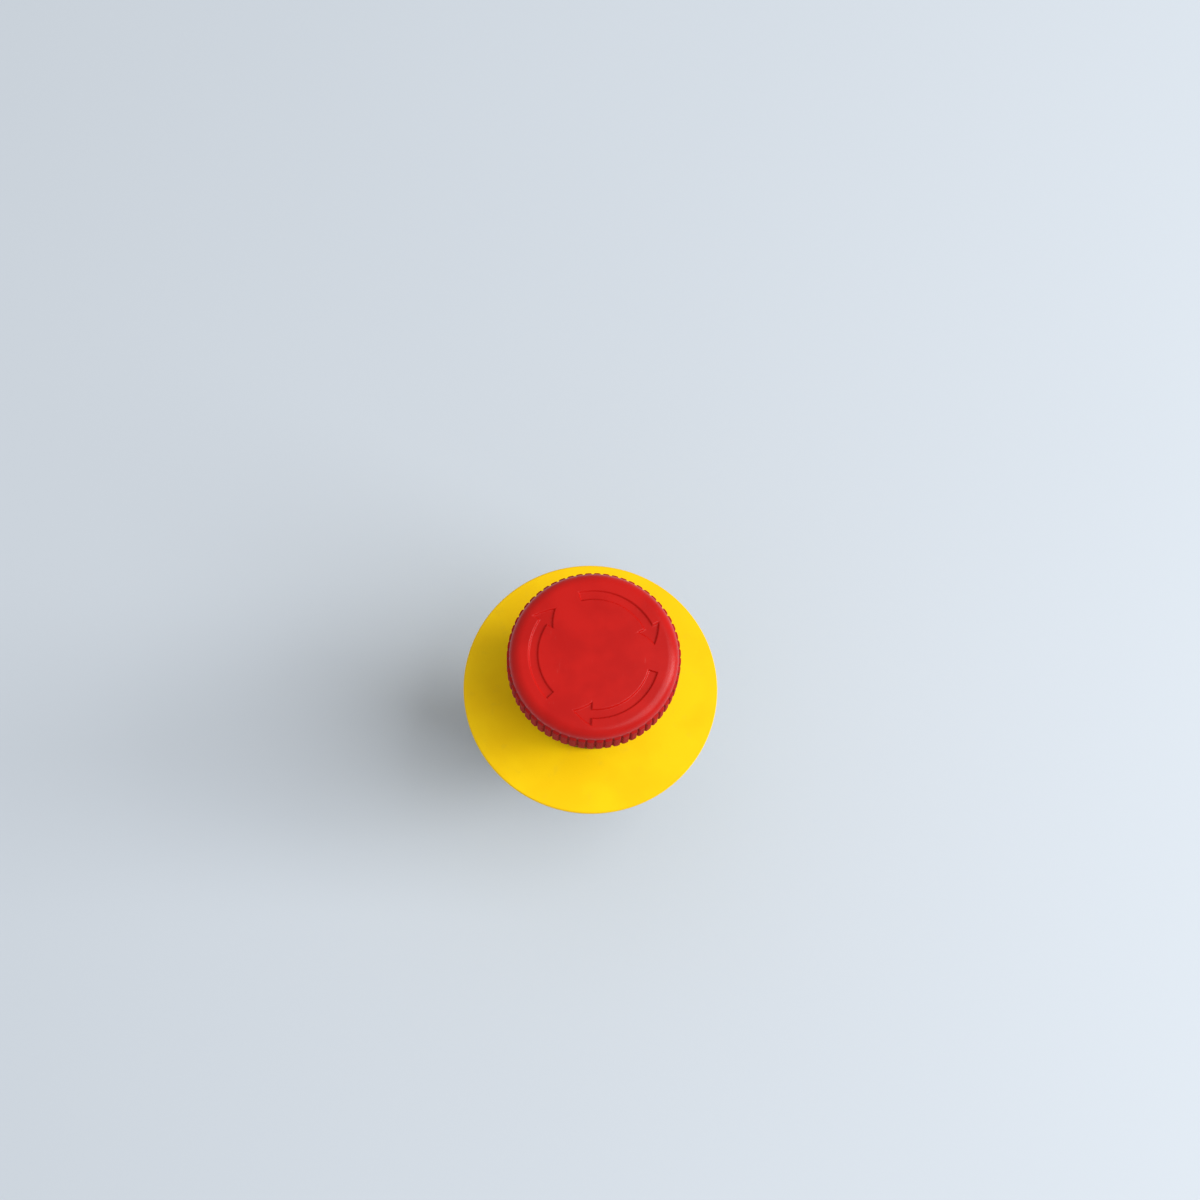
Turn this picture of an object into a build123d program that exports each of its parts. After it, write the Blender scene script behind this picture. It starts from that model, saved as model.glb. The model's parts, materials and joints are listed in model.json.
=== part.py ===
from build123d import *
from math import atan2, cos, degrees, radians, sin
import os

# Twist-to-release emergency stop button for a 22 mm panel hole.
# +Z points out of the panel at the operator, and z = 0 is the panel's front face.
# +Y is the top of the panel, where the anti-rotation key sits. All sizes are millimetres.

# ---- driving dimensions -------------------------------------------------------------
travel = 4.5                 # stroke of the mushroom head, rest to latched
panel_max = 6.0              # thickest panel the nut can clamp

disc_diameter = 60.0
disc_thickness = 0.8
gasket_thickness = 0.8
gasket_width = 2.9

head_diameter = 39.6         # over the grip ribs
head_top = 36.0              # top of the head above the panel
rib_count = 60
rib_depth = 0.5
rib_height = 8.0
rib_chamfer = 0.3
groove_width = 0.95          # between two ribs, at their crests
groove_root_width = 0.24
rim_chamfer = 0.4
top_edge_radius = 2.7
head_crown = 0.35
head_wall = 2.6
skirt_base = 18.0            # lower edge of the tapered skirt, at rest
skirt_wall = 1.2
underside_wall = 2.2
web_count = 6                # inside the head, from hub to rim
web_thickness = 1.6

arrow_count = 3
arrow_depth = 0.45
arrow_mid_radius = 13.8
arrow_shaft_width = 2.0
arrow_head_width = 5.2
arrow_shaft_angle = 76.5
arrow_head_angle = 17.0
arrow_tail_clock = -13.0     # first tail, degrees clockwise from +Y

barrel_radius = 10.9         # crest of the 22 mm thread
thread_pitch = 1.5
thread_depth = 0.85
thread_gap = 0.6             # plain length at each end of the thread
key_width = 3.0
key_height = 1.5
key_depth = 0.9
key_root = 1.5               # how far the key runs into the barrel

flange_diameter = 29.6
flange_thickness = 3.0
flange_floor = 1.2
flange_bevel = 1.2
collar_foot = 1.0            # height of the slope from flange to collar
neck_overlap = 0.3           # how far the head's neck reaches into the collar at rest
collar_wall = 2.1
seal_height = 1.6
seal_lip_root = 0.5          # lip's root above the ring's base
seal_bore_gap = 0.5          # between the ring and the head's neck
seal_lip_thickness = 0.3
cap_wall = 0.8
cap_lip = 1.0
cap_grip = 3.2               # how far the cap reaches down the collar

hub_radius = 10.8            # the head's moving neck, inside the collar
hub_wall = 1.4
spindle_radius = 3.95
spindle_tail = 0.6           # spindle behind its clip groove
shoulder_width = 0.8         # collar of the spindle, on top of the sleeve
shoulder_height = 1.2
boss_wall = 1.7
boss_pocket = 1.0            # room for the torsion spring around the boss
sleeve_radius = 7.35
sleeve_flange_radius = 10.5
sleeve_flange_thickness = 1.5
trip_spring_length = 9.0
trip_spring_wire = 0.8
trip_spring_turns = 3.6
trip_spring_inset = 1.2      # from the sleeve flange's rim to the middle of the wire
torsion_wire = 0.8
torsion_turns = 4.0
torsion_spare_turns = 1.6    # room kept above the close coil
guide_rib_width = 1.6        # rib that keeps the sleeve from turning
guide_rib_height = 0.9
guide_rib_length = 7.0
stop_clip_thickness = 1.0
stop_clip_width = 1.9
stop_clip_opening = 4.0
stop_groove_depth = 0.5
stop_land = 2.95             # plain bore between the latch groove and the stop
rear_margin = 0.95           # barrel behind the pressed stop clip
pusher_inset = 1.0           # pusher's rear face inside the barrel's rear face
pusher_thickness = 1.7
pusher_boss_height = 0.6
spindle_clip_thickness = 0.8
spindle_clip_width = 1.85
spindle_clip_opening = 3.2
spindle_clip_rise = 1.6      # clip above the pusher
clip_groove_depth = 0.6

latch_pin_radius = 1.25
latch_pin_throw = 1.0        # how far a pin moves out over the whole travel
latch_core_radius = 2.0      # spindle between the pins
latch_pin_inset = 0.2        # pin's inner end from the core
latch_bore_radius = 0.75     # bore of a pin, for its spring
latch_spring_radius = 0.5
latch_spring_wire = 0.25
latch_spring_turns = 5.0
latch_spring_inset = 0.9     # spring's outer end inside the pin's
peg_radius = 0.5             # peg of a pin, in the spindle's slot
peg_margin = 14.0            # degrees of slot past the twist, at each end
twist_range = 35.0           # degrees the head turns to release
latch_depth = 5.0            # pin axis below the panel's front face, at rest

washer_thickness = 0.8
washer_width = 3.1
nut_diameter = 30.0
nut_height = 3.5
nut_notches = 6
nut_notch_width = 4.0
nut_notch_depth = 1.6
nut_margin = 2.0             # thread left behind the nut
washer_notches = 12
washer_notch_width = 1.0
washer_notch_depth = 0.7

rear_radius = 10.0           # smooth barrel behind the thread
rear_wall = 0.6
lug_height = 1.0
lug_thickness = 1.55
lug_angle = 36.0
lug_count = 3
lug_spare_angle = 4.0        # how much wider the locking ring's lugs are
lever_swing = 60.0
lever_locked_angle = -120.0
lever_reach = 23.0
lever_width = 4.4
lever_pad = 3.0
lever_ridges = 3
pad_overhang = 0.8           # pad past the lever, at each side
pad_drop = 1.2
pad_rise = 1.8
ridge_depth = 0.4
ridge_pitch = 0.9
ridge_width = 0.35
ring_thickness = 2.2
ring_width = 3.0
holder_length = 38.0         # along X
holder_wall = 0.8
holder_corner = 4.0
holder_cap_thickness = 3.5
holder_floor = 3.6
cap_notches = 4              # for lifting the holder's cap
cap_notch_width = 2.4
cap_notch_depth = 0.8
release_width = 2.6          # window over each hook, for a screwdriver
grip_count = 7
grip_depth = 0.5
grip_pitch = 2.2
grip_width = 1.0
grip_length = 4.2

block_length = 38.0          # along X
block_thickness = 10.0       # along Y
block_depth = 27.0           # along Z
block_wall = 1.2
block_gap = 0.2              # between the two blocks
block_corner = 3.0
terminal_depth = 13.6        # terminal floor to the block's rear face
terminal_length = 9.1
strip_thickness = 1.0
strip_width = 5.0
strip_inset = 0.3            # from the partition to the strip's column
bridge_width = 4.0
bridge_thickness = 0.8
bridge_half_length = 8.0
tip_radius = 1.3
tip_height = 0.6
tip_offset = 6.6
slider_width = 5.0           # along X
slider_thickness = 6.2       # along Y
contact_spring_wire = 0.4
contact_spring_radius = 1.4
return_spring_wire = 0.5
return_spring_radius = 2.0
return_spring_turns = 5.0
return_spring_pressed = 4.1  # its length at the end of the stroke
spigot_radius = 1.2          # slider's nose inside the return spring
spigot_length = 3.0
contact_spring_turns = 3.5
contact_play = 3.4           # room for the contact spring in the slider
clamp_opening = 4.2          # wire gap under a loosened clamp
clamp_size = 6.8
clamp_thickness = 1.2
screw_radius = 1.75
screw_head_radius = 3.0
screw_head_height = 2.6
screw_slot_width = 0.8
screw_slot_depth = 1.2
cover_peg_radius = 0.8
cover_post_wall = 0.7
cover_peg_inset = 2.4        # from the block's end
end_grooves = 4
end_groove_depth = 0.4       # grip grooves across a block's ends
end_groove_width = 0.8
end_groove_length = 6.0
end_groove_pitch = 1.8
hook_thickness = 1.4
hook_width = 4.6
hook_height = 4.4
hook_nose = 0.8
hook_tip = 1.2
hook_inset = 3.8             # from the holder's end
screw_inset = 4.8            # from the block's end
edge_break = 0.5             # chamfer or round along outer edges
fine_edge = 0.3              # the same on small pieces
open_bridge_lift = 3.6       # travel of the normally open bridge until it closes
closed_level = 6.2           # contact face above the terminal floor, normally closed
open_level = 4.4             # the same, normally open

# ---- clearances ---------------------------------------------------------------------
slide_gap = 0.15             # radial or side clearance of sliding pieces
run_gap = 0.08               # radial clearance of turning pieces
face_gap = 0.1               # between faces that meet at a stop
part_gap = 0.3               # between pieces that only pass by
press_gap = 0.02             # spindle in the head's boss
thread_gap_radial = 0.15     # nut bore over the thread's crest
seat_gap = 0.02              # a spring's or strip's end from its seat
weld = 0.5                   # how far joined shapes run into each other
past = 1.0                   # how far a cut runs past the face it opens

# ---- levels worked out from the driving dimensions ------------------------------------
gasket_base = disc_thickness
flange_base = gasket_base + gasket_thickness
flange_top = flange_base + flange_thickness
spring_floor = flange_base + flange_floor
collar_radius = hub_radius + part_gap + collar_wall
cap_radius = collar_radius + slide_gap + cap_wall
skirt_inner = cap_radius + part_gap

rim_top = head_top - top_edge_radius - head_crown
rim_base = rim_top - rib_height
rib_root_radius = head_diameter / 2 - rib_depth
sleeve_flange_base = spring_floor + trip_spring_length
sleeve_top = sleeve_flange_base + sleeve_flange_thickness
hub_base = sleeve_top + torsion_wire + 2 * face_gap
collar_top = hub_base + neck_overlap
cap_top = collar_top + seal_height + cap_lip
head_ceiling = head_top - head_crown - head_wall

sleeve_bore = sleeve_radius + slide_gap
nut_top = -panel_max - washer_thickness
nut_base = nut_top - nut_height
thread_base = nut_base - nut_margin
latch_roof = -latch_depth + latch_pin_radius + slide_gap
latch_floor = -latch_depth - latch_pin_radius - slide_gap
latch_ramp_top = -latch_depth + latch_pin_radius
latch_groove_base = latch_ramp_top - travel - 2 * latch_pin_radius - part_gap
stop_level = latch_groove_base - stop_land
clip_base = stop_level - face_gap - stop_clip_thickness
barrel_base = clip_base - travel - rear_margin
barrel_wide_bore = rear_radius - rear_wall
pusher_base = barrel_base + pusher_inset
pusher_top = pusher_base + pusher_thickness
spindle_clip_seat = pusher_top + spindle_clip_rise
torsion_space = torsion_wire * (torsion_turns + torsion_spare_turns)
pin_inner_end = latch_core_radius + latch_pin_inset
peg_centre = pin_inner_end + peg_radius + face_gap

lug_top = barrel_base + lug_thickness
ring_base = lug_top + face_gap
ring_top = ring_base + ring_thickness
ring_outer = rear_radius + lug_height + 2 * face_gap + ring_width
holder_cap_base = ring_top + face_gap
holder_top = holder_cap_base + holder_cap_thickness
holder_seat = barrel_base - 2 * face_gap
holder_base = holder_seat - holder_floor
pocket_radius = ring_outer + 2 * face_gap
holder_width = 2 * (pocket_radius + holder_wall)

block_centre = (block_gap + block_thickness) / 2
block_top = holder_base - 2 * face_gap
block_base = block_top - block_depth
slider_top = pusher_base - face_gap
slider_reach = ((slider_width / 2) ** 2 + (block_centre + slider_thickness / 2) ** 2) ** 0.5
terminal_floor = block_base + terminal_depth
chamber_front = block_top - block_wall
chamber_rear = block_base + block_wall
partition = block_length / 2 - terminal_length
closed_strip = terminal_floor + closed_level
open_strip = terminal_floor + open_level
slider_foot = chamber_rear + travel + return_spring_pressed
screw_x = block_length / 2 - screw_inset
hook_x = holder_length / 2 - hook_inset
hook_top = block_top + hook_height
inner_face = -block_wall                      # block's own Y, its tray's side wall
cover_face = block_wall - block_thickness     # where the clear cover lies on the tray
middle = (inner_face + cover_face) / 2        # middle of everything inside

MID = (Align.CENTER, Align.CENTER, Align.MIN)


# ---- small helpers --------------------------------------------------------------------
def rod(radius, low, high):
    return Pos(0, 0, low) * Cylinder(radius, high - low, align=MID)


def tube(outer, inner, low, high):
    return rod(outer, low, high) - rod(inner, low - past, high + past)


def bar(x, y, z):
    """A box from (low, high) pairs along X, Y and Z."""
    centre = [(a + b) / 2 for a, b in (x, y, z)]
    return Pos(*centre) * Box(x[1] - x[0], y[1] - y[0], z[1] - z[0])


def span(side, near, far):
    """A (low, high) pair along X, on the side that the sign gives."""
    return sorted((side * near, side * far))


def turned(points):
    """A solid of revolution about Z from (radius, height) points."""
    outline = Polyline(*[(r, 0, z) for r, z in points], close=True)
    return revolve(make_face(outline), Axis.Z)


def sector(outer, inner, low, high, middle, spread):
    """A piece of ring centred on the angle middle, spread degrees wide."""
    start, end = radians(middle - spread / 2), radians(middle + spread / 2)
    centre = radians(middle)
    rim = ThreePointArc(
        (outer * cos(start), outer * sin(start)),
        (outer * cos(centre), outer * sin(centre)),
        (outer * cos(end), outer * sin(end)),
    )
    bore = ThreePointArc(
        (inner * cos(end), inner * sin(end)),
        (inner * cos(centre), inner * sin(centre)),
        (inner * cos(start), inner * sin(start)),
    )
    face = make_face([rim, Line(rim @ 1, bore @ 0), bore, Line(bore @ 1, rim @ 0)])
    return extrude(Pos(0, 0, low) * face, high - low)


def coil(mean_radius, wire, low, high, turns):
    """A round-wire coil spring between two levels, its ends inside them."""
    pitch = (high - low - wire) / turns
    path = Helix(pitch, pitch * turns, mean_radius, center=(0, 0, low + wire / 2))
    section = Plane(origin=path @ 0, z_dir=path % 0) * Circle(wire / 2)
    return sweep(section, path=path, is_frenet=True)


def outer_edge(ring):
    """The largest circle on a ring's front face."""
    return ring.edges().filter_by(GeomType.CIRCLE).group_by(Axis.Z)[-1].sort_by(SortBy.RADIUS)[-1:]


def circle_point(radius, clock):
    """A point on a circle, clock degrees clockwise from +Y as seen from the front."""
    return (radius * sin(radians(clock)), radius * cos(radians(clock)))


def key_slot(radius, low, high, gap):
    """The anti-rotation key, or with a gap the notch that it passes through."""
    half = key_width / 2 + gap
    return bar((-half, half), (radius - key_root, radius + key_height + gap), (low, high))


# ---- what the operator touches ----------------------------------------------------------
def arrow(tail_clock):
    """A curved arrow outline that points clockwise."""
    inner = arrow_mid_radius - arrow_shaft_width / 2
    outer = arrow_mid_radius + arrow_shaft_width / 2
    base = tail_clock + arrow_shaft_angle
    middle = tail_clock + arrow_shaft_angle / 2
    tip = circle_point(arrow_mid_radius, base + arrow_head_angle)
    barb_out = circle_point(arrow_mid_radius + arrow_head_width / 2, base)
    barb_in = circle_point(arrow_mid_radius - arrow_head_width / 2, base)
    rim = ThreePointArc(
        circle_point(outer, tail_clock), circle_point(outer, middle), circle_point(outer, base)
    )
    bore = ThreePointArc(
        circle_point(inner, base), circle_point(inner, middle), circle_point(inner, tail_clock)
    )
    return make_face(
        [
            rim,
            Line(rim @ 1, barb_out),
            Line(barb_out, tip),
            Line(tip, barb_in),
            Line(barb_in, bore @ 0),
            bore,
            Line(bore @ 1, rim @ 0),
        ]
    )


def mushroom_head():
    flat_radius = rib_root_radius - top_edge_radius
    shoulder = head_top - head_crown
    bend = top_edge_radius * (1 - cos(radians(45)))
    crown = ThreePointArc((0, 0, head_top), (flat_radius / 2, 0, head_top - head_crown / 4),
                          (flat_radius, 0, shoulder))
    edge = ThreePointArc((flat_radius, 0, shoulder),
                         (rib_root_radius - bend, 0, shoulder - bend),
                         (rib_root_radius, 0, rim_top))
    rest = Polyline(
        edge @ 1,
        (rib_root_radius, 0, rim_base + rim_chamfer),
        (rib_root_radius - rim_chamfer, 0, rim_base),
        (skirt_inner + skirt_wall, 0, skirt_base),
        (hub_radius, 0, skirt_base),
        (hub_radius, 0, hub_base),
        (0, 0, hub_base),
        (0, 0, head_top),
    )
    body = revolve(make_face([crown, edge, rest]), Axis.Z)
    rib_ring = tube(head_diameter / 2, rib_root_radius - weld / 2, rim_base + rim_chamfer / 2,
                    rim_top - rib_chamfer)
    rib_ring = chamfer(rib_ring.edges().filter_by(GeomType.CIRCLE).sort_by(SortBy.RADIUS)[-2:], rib_chamfer)
    half, root, groove_out = groove_width / 2, groove_root_width / 2, rib_depth / 2
    section = Polygon((-rib_depth, -root), (groove_out, -half), (groove_out, half), (-rib_depth, root),
                      align=None)
    groove = Pos(head_diameter / 2, 0, rim_base - past) * extrude(section, rib_height + 2 * past)
    for place in PolarLocations(0, rib_count):
        rib_ring -= place * groove
    body += rib_ring
    hollow_outer = rib_root_radius - underside_wall
    body -= turned([(hub_radius, skirt_base - past), (skirt_inner, skirt_base - past),
                    (skirt_inner, skirt_base + 1), (hollow_outer, rim_base + 1),
                    (hollow_outer, head_ceiling), (hub_radius, head_ceiling)])
    web = bar((hub_radius - weld / 2, hollow_outer + weld / 2), (-web_thickness / 2, web_thickness / 2),
              (cap_top + travel + part_gap, head_ceiling + weld))
    for place in PolarLocations(0, web_count, start_angle=180 / web_count):
        body += place * web
    body -= tube(hub_radius - hub_wall, spindle_radius + boss_wall, hub_base - past, head_ceiling)
    body -= rod(spindle_radius + boss_wall + boss_pocket, hub_base - past,
                sleeve_top + torsion_space + face_gap)
    body -= rod(spindle_radius + press_gap, hub_base - past, head_ceiling)
    for number in range(arrow_count):
        outline = arrow(arrow_tail_clock + number * 360 / arrow_count)
        body -= extrude(Pos(0, 0, head_top - head_crown - arrow_depth) * outline, head_top)
    return body


def peg_slot():
    """Slot that lets a pin's peg pass while the spindle turns."""
    return sector(spindle_radius + past, pin_inner_end, latch_roof - face_gap,
                  latch_roof + latch_pin_radius + part_gap, twist_range / 2, twist_range + 2 * peg_margin)


def cam_spindle():
    """Turns with the head inside the sleeve, on a thin core between the latch pins."""
    body = rod(spindle_radius, spindle_clip_seat - spindle_tail, head_ceiling - face_gap)
    body += rod(spindle_radius + shoulder_width, sleeve_top + face_gap, sleeve_top + shoulder_height)
    body -= tube(spindle_radius + past, spindle_radius - clip_groove_depth, spindle_clip_seat + face_gap,
                 spindle_clip_seat + spindle_clip_thickness + 2 * face_gap)
    body -= tube(spindle_radius + past, latch_core_radius, latch_floor, latch_roof)
    for place in PolarLocations(0, 2):
        body -= place * peg_slot()
    return body


def spindle_clip():
    low = spindle_clip_seat + face_gap + face_gap / 2
    inner = spindle_radius - clip_groove_depth + face_gap / 2
    ring = tube(inner + spindle_clip_width, inner, low, low + spindle_clip_thickness)
    return ring - bar((0, 2 * spindle_radius), (-spindle_clip_opening / 2, spindle_clip_opening / 2),
                      (low - past, low + spindle_clip_thickness + past))


def torsion_spring():
    """Turns the head back after a twist: a close coil with one leg up and one leg down."""
    radius = spindle_radius + boss_wall + boss_pocket - 1.5 * torsion_wire
    return coil(radius, torsion_wire, sleeve_top + face_gap,
                sleeve_top + torsion_space - face_gap, torsion_turns)


# ---- the sliding plunger -----------------------------------------------------------------
def plunger_sleeve():
    body = rod(sleeve_radius, pusher_top, sleeve_top)
    body += rod(sleeve_flange_radius, sleeve_flange_base, sleeve_top)
    body -= rod(spindle_radius + run_gap, pusher_top - past, sleeve_top + past)
    body -= rod(spindle_radius + spindle_clip_width - slide_gap, pusher_top - past,
                spindle_clip_seat + spindle_clip_thickness + 3 * face_gap)
    body -= tube(sleeve_radius + past, sleeve_radius - stop_groove_depth, clip_base - face_gap / 2,
                 clip_base + stop_clip_thickness + face_gap / 2)
    pin_bore = Cylinder(latch_pin_radius + run_gap, 4 * sleeve_radius)
    body -= Pos(0, 0, -latch_depth) * Rot(0, 90, 0) * pin_bore
    peg_reach = peg_centre + peg_radius + latch_pin_throw + part_gap
    body -= bar((-peg_reach, peg_reach), (-peg_radius - slide_gap, peg_radius + slide_gap),
                (-latch_depth, -latch_depth + 2 * latch_pin_radius + part_gap))
    half = guide_rib_width / 2
    rib_middle = part_gap - latch_depth
    return body + bar((-half, half), (sleeve_radius - weld, sleeve_radius + guide_rib_height),
                      (rib_middle - guide_rib_length / 2, rib_middle + guide_rib_length / 2))


def stop_clip():
    """Snap ring that stops the plunger at the top of its stroke."""
    inner = sleeve_radius - stop_groove_depth + face_gap
    ring = tube(inner + stop_clip_width, inner, clip_base, clip_base + stop_clip_thickness)
    return ring - bar((0, 2 * sleeve_radius), (-stop_clip_opening / 2, stop_clip_opening / 2),
                      (clip_base - past, clip_base + stop_clip_thickness + past))


def pusher_plate():
    plate = rod(sleeve_radius, pusher_base, pusher_top)
    plate = chamfer(plate.edges().group_by(Axis.Z)[0], edge_break)
    return plate + rod(spindle_radius + spindle_clip_width - part_gap, pusher_top - weld,
                       pusher_top + pusher_boss_height)


def latch_pin(side):
    """A round pin in the sleeve's side, hollow for its spring, with a peg against turning."""
    length = sleeve_radius - face_gap - pin_inner_end
    pin = Pos(pin_inner_end, 0, 0) * Rot(0, 90, 0) * Cylinder(latch_pin_radius, length, align=MID)
    pin = chamfer(pin.edges().group_by(Axis.X)[-1], fine_edge)
    pin += Pos(peg_centre, 0, 0) * rod(peg_radius, latch_pin_radius - weld, 2 * latch_pin_radius)
    bore = Cylinder(latch_bore_radius, length, align=MID)
    pin -= Pos(pin_inner_end - past, 0, 0) * Rot(0, 90, 0) * bore
    pin = Pos(0, 0, -latch_depth) * pin
    return pin if side > 0 else Rot(0, 0, 180) * pin


def latch_springs():
    start = latch_core_radius + face_gap / 2
    length = sleeve_radius - face_gap - latch_core_radius - latch_spring_inset
    spring = coil(latch_spring_radius, latch_spring_wire, 0, length, latch_spring_turns)
    one = Pos(start, 0, -latch_depth) * Rot(0, 90, 0) * spring
    return [one, Rot(0, 0, 180) * one]


def trip_spring():
    return coil(sleeve_flange_radius - trip_spring_inset, trip_spring_wire, spring_floor + seat_gap,
                sleeve_flange_base - seat_gap, trip_spring_turns)


# ---- the fixed operator body ---------------------------------------------------------------
def operator_barrel():
    """Flange, collar and threaded barrel in one moulding."""
    outer = [
        (collar_radius, collar_top),
        (collar_radius, flange_top + collar_foot),
        (flange_diameter / 2 - flange_bevel, flange_top),
        (flange_diameter / 2, flange_top - flange_bevel),
        (flange_diameter / 2, flange_base),
        (barrel_radius, flange_base),
        (barrel_radius, -thread_gap),
    ]
    level = -thread_gap
    while level - thread_pitch > thread_base + thread_gap:
        outer += [
            (barrel_radius - thread_depth, level - 0.45 * thread_pitch),
            (barrel_radius - thread_depth, level - 0.55 * thread_pitch),
            (barrel_radius, level - 0.95 * thread_pitch),
            (barrel_radius, level - thread_pitch),
        ]
        level -= thread_pitch
    outer += [
        (barrel_radius, thread_base + fine_edge),
        (barrel_radius - fine_edge, thread_base),
        (rear_radius, thread_base),
        (rear_radius, barrel_base),
    ]
    pin_tip = sleeve_radius - face_gap
    slope = latch_pin_throw / travel
    groove_radius = pin_tip + latch_pin_throw + face_gap + latch_pin_radius * slope
    inner = [
        (barrel_wide_bore, barrel_base),
        (barrel_wide_bore, stop_level),
        (sleeve_bore, stop_level),
        (sleeve_bore, latch_groove_base),
        (groove_radius, latch_groove_base),
        (groove_radius, latch_ramp_top - travel),
        (sleeve_bore, latch_ramp_top + part_gap),
        (sleeve_bore, spring_floor),
        (hub_radius + part_gap, spring_floor),
        (hub_radius + part_gap, collar_top),
    ]
    body = turned(outer + inner)
    half = guide_rib_width / 2 + slide_gap
    body -= bar((-half, half), (0, sleeve_radius + guide_rib_height + slide_gap),
                (stop_level - past, spring_floor + past))
    body += key_slot(barrel_radius, -key_depth, flange_base + weld, 0)
    for number in range(lug_count):
        angle = lever_locked_angle + number * 360 / lug_count
        body += sector(rear_radius + lug_height, rear_radius - rear_wall / 2, barrel_base, lug_top,
                       angle, lug_angle)
    return body


def shaft_seal():
    """Wiper ring between the collar and the head's neck."""
    lip_top = collar_top + seal_height
    lip_root = collar_top + seal_lip_root
    inner = hub_radius + seal_bore_gap
    tip = hub_radius + run_gap / 2
    ring = tube(collar_radius - part_gap, inner, collar_top, lip_top)
    lip = turned([(tip, lip_top), (tip + seal_lip_thickness, lip_top),
                  (inner + seal_lip_thickness, lip_root), (inner - fine_edge / 2, lip_root)])
    return ring + lip


def collar_cap():
    """Snaps over the collar and keeps the wiper ring down."""
    lip_base = collar_top + seal_height
    body = tube(cap_radius, hub_radius + part_gap, lip_base, cap_top)
    body = chamfer(outer_edge(body), edge_break)
    return body + tube(cap_radius, collar_radius + slide_gap, collar_top - cap_grip, lip_base)


def panel_gasket():
    inner = barrel_radius + part_gap
    ring = tube(inner + gasket_width, inner, gasket_base, flange_base)
    return ring - key_slot(barrel_radius, 0, flange_base + past, part_gap)


def legend_disc():
    disc = tube(disc_diameter / 2, barrel_radius + part_gap, 0, disc_thickness)
    disc = chamfer(outer_edge(disc), disc_thickness / 4)
    return disc - key_slot(barrel_radius, -past, disc_thickness + past, part_gap)


def lock_washer():
    inner = barrel_radius + thread_gap_radial
    ring = tube(inner + washer_width, inner, nut_top, -panel_max)
    half = washer_notch_width / 2
    for place in PolarLocations(inner + washer_width, washer_notches):
        ring -= place * bar((-washer_notch_depth, past), (-half, half), (nut_top - past, -panel_max + past))
    return ring


def ring_nut():
    inner = barrel_radius + thread_gap_radial
    nut = tube(nut_diameter / 2, inner, nut_base, nut_top - face_gap / 2)
    nut = chamfer(nut.edges().filter_by(GeomType.CIRCLE), fine_edge)
    for place in PolarLocations(nut_diameter / 2, nut_notches):
        nut -= place * bar((-nut_notch_depth, past), (-nut_notch_width / 2, nut_notch_width / 2),
                           (nut_base - past, nut_top + past))
    return nut


# ---- the holder behind the panel --------------------------------------------------------------
def holder_frame():
    plate = Pos(0, 0, holder_base) * extrude(
        RectangleRounded(holder_length, holder_width, holder_corner), holder_top - holder_base)
    plate = chamfer(plate.edges().group_by(Axis.Z)[-1], edge_break)
    plate -= rod(pocket_radius, ring_base - face_gap, holder_top + past)
    plate -= rod(rear_radius + lug_height + 2 * face_gap, holder_seat, holder_top)
    plate -= rod(slider_reach + part_gap, holder_base - past, holder_seat + past)
    sweep_angle = lever_swing + 2 * degrees(atan2(lever_width / 2 + part_gap, pocket_radius))
    plate -= sector(lever_reach * 2, pocket_radius - 1, ring_base - face_gap, ring_top + face_gap,
                    lever_locked_angle + lever_swing / 2, sweep_angle)
    for side in (1, -1):
        for y in (-block_centre, block_centre):
            wide = (y - hook_width / 2 - slide_gap, y + hook_width / 2 + slide_gap)
            stem = span(side, hook_x - slide_gap, hook_x + hook_thickness + slide_gap)
            nose = span(side, hook_x - slide_gap, hook_x + hook_thickness + hook_nose + slide_gap)
            plate -= bar(stem, wide, (holder_base - past, hook_top + slide_gap))
            plate -= bar(nose, wide, (hook_top - hook_tip - face_gap, hook_top + slide_gap))
            outside = span(side, hook_x, holder_length / 2 + past)
            plate -= bar(outside, (y - release_width / 2, y + release_width / 2),
                         (hook_top - hook_tip - face_gap, hook_top + slide_gap))
        grip = Pos(side * holder_length / 2, 0, (holder_top + hook_top + holder_wall) / 2)
        for place in GridLocations(0, grip_pitch, 1, grip_count):
            plate -= grip * place * Box(2 * grip_depth, grip_width, grip_length)
    return plate


def holder_cap():
    """Snaps into the frame and keeps the locking ring down."""
    inner = rear_radius + lug_height + 2 * face_gap
    ring = tube(pocket_radius - face_gap, inner, holder_cap_base, holder_top)
    ring = chamfer(ring.edges().filter_by(GeomType.CIRCLE).group_by(Axis.Z)[-1], fine_edge)
    half = cap_notch_width / 2
    for place in PolarLocations(pocket_radius - face_gap, cap_notches, start_angle=45):
        ring -= place * bar((-past, past), (-half, half), (holder_top - cap_notch_depth, holder_top + past))
    return ring


def locking_ring():
    """Bayonet ring whose lever locks the holder behind the barrel's lugs."""
    inner = rear_radius + lug_height + 2 * face_gap
    ring = tube(ring_outer, inner, ring_base, ring_top)
    for number in range(lug_count):
        angle = lever_locked_angle + number * 360 / lug_count
        ring += sector(inner + weld, rear_radius + slide_gap, ring_base, ring_top, angle,
                       lug_angle + lug_spare_angle)
    half = lever_width / 2
    lever = bar((ring_outer - weld, lever_reach), (-half, half), (ring_base, ring_top))
    pad_start = lever_reach - lever_pad
    pad_top = ring_top + pad_rise
    pad_half = half + pad_overhang
    pad = bar((pad_start, lever_reach), (-pad_half, pad_half), (ring_base - pad_drop, pad_top))
    pad = fillet(pad.edges().filter_by(Axis.X), pad_overhang)
    for step in range(lever_ridges):
        ridge = pad_start + (step + 0.5) * ridge_pitch
        pad -= bar((ridge, ridge + ridge_width), (-pad_half - past, pad_half + past),
                   (pad_top - ridge_depth, pad_top + past))
    return ring + Rot(0, 0, lever_locked_angle) * (lever + pad)


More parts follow.
